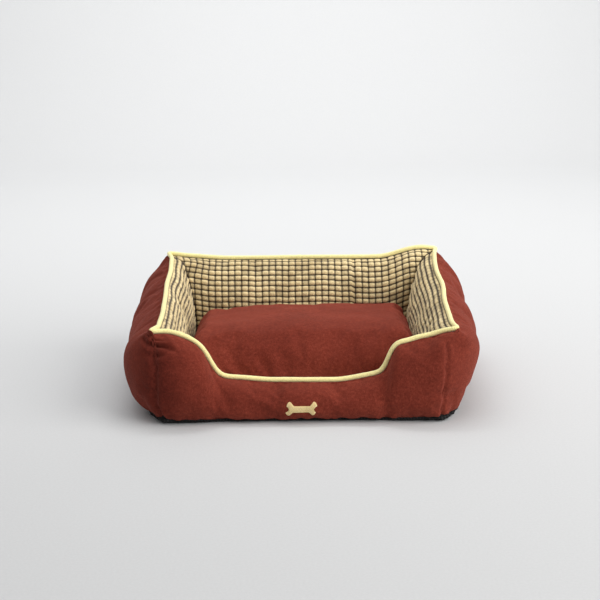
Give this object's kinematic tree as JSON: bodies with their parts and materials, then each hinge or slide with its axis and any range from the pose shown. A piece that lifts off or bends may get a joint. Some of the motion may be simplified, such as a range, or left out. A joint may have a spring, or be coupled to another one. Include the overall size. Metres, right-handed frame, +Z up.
{
  "type": "pet cushion bed",
  "caption": "Rectangular bolster bed for a small pet: four stuffed suede and plush walls with a piped rim, a low front entry and a loose zipped seat cushion",
  "frame": {"origin": "middle of the underside of the base, on the floor", "axes": "+Z up, the entry faces -Y, +X is to the right of someone who looks into the bed through the entry"},
  "size_m": [0.6, 0.44, 0.1992],
  "materials": {
    "suede": "brushed maroon micro-suede",
    "plush": "beige bubble plush",
    "fibre": "loose polyester fibre",
    "piping_cotton": "plain woven yellow cotton",
    "cord": "twisted cotton cord",
    "non_slip": "black non-slip cloth",
    "thread": "satin stitched thread",
    "zip_tape": "dark woven tape",
    "zip_teeth": "nylon coil",
    "zip_zinc": "cast zinc"
  },
  "bodies": {
    "bed": {"base_panel": "non_slip", "base_wadding": "fibre", "base_lining": "suede", "outer_front_panel": "suede", "outer_right_panel": "suede", "outer_back_panel": "suede", "outer_left_panel": "suede", "front_lining": "plush", "right_lining": "plush", "back_lining": "plush", "left_lining": "plush", "front_bolster_fill": "fibre", "right_bolster_fill": "fibre", "back_bolster_fill": "fibre", "left_bolster_fill": "fibre", "piping_cover": "piping_cotton", "piping_cord": "cord", "front_motif": "thread"},
    "cushion": {"cushion_top_panel": "suede", "cushion_bottom_panel": "suede", "cushion_fill": "fibre", "zip_tape_upper": "zip_tape", "zip_tape_lower": "zip_tape", "zip_teeth": "zip_teeth"},
    "slider": {"zip_slider": "zip_zinc", "zip_pull": "zip_zinc"}
  },
  "joints": [
    {"name": "cushion_lift", "type": "slide", "parent": "bed", "child": "cushion", "axis": [0, 0, 1], "range_m": [0, 0.25]},
    {"name": "zip_slide", "type": "slide", "parent": "cushion", "child": "slider", "axis": [-1, 0, 0], "range_m": [0, 0.22]}
  ]
}
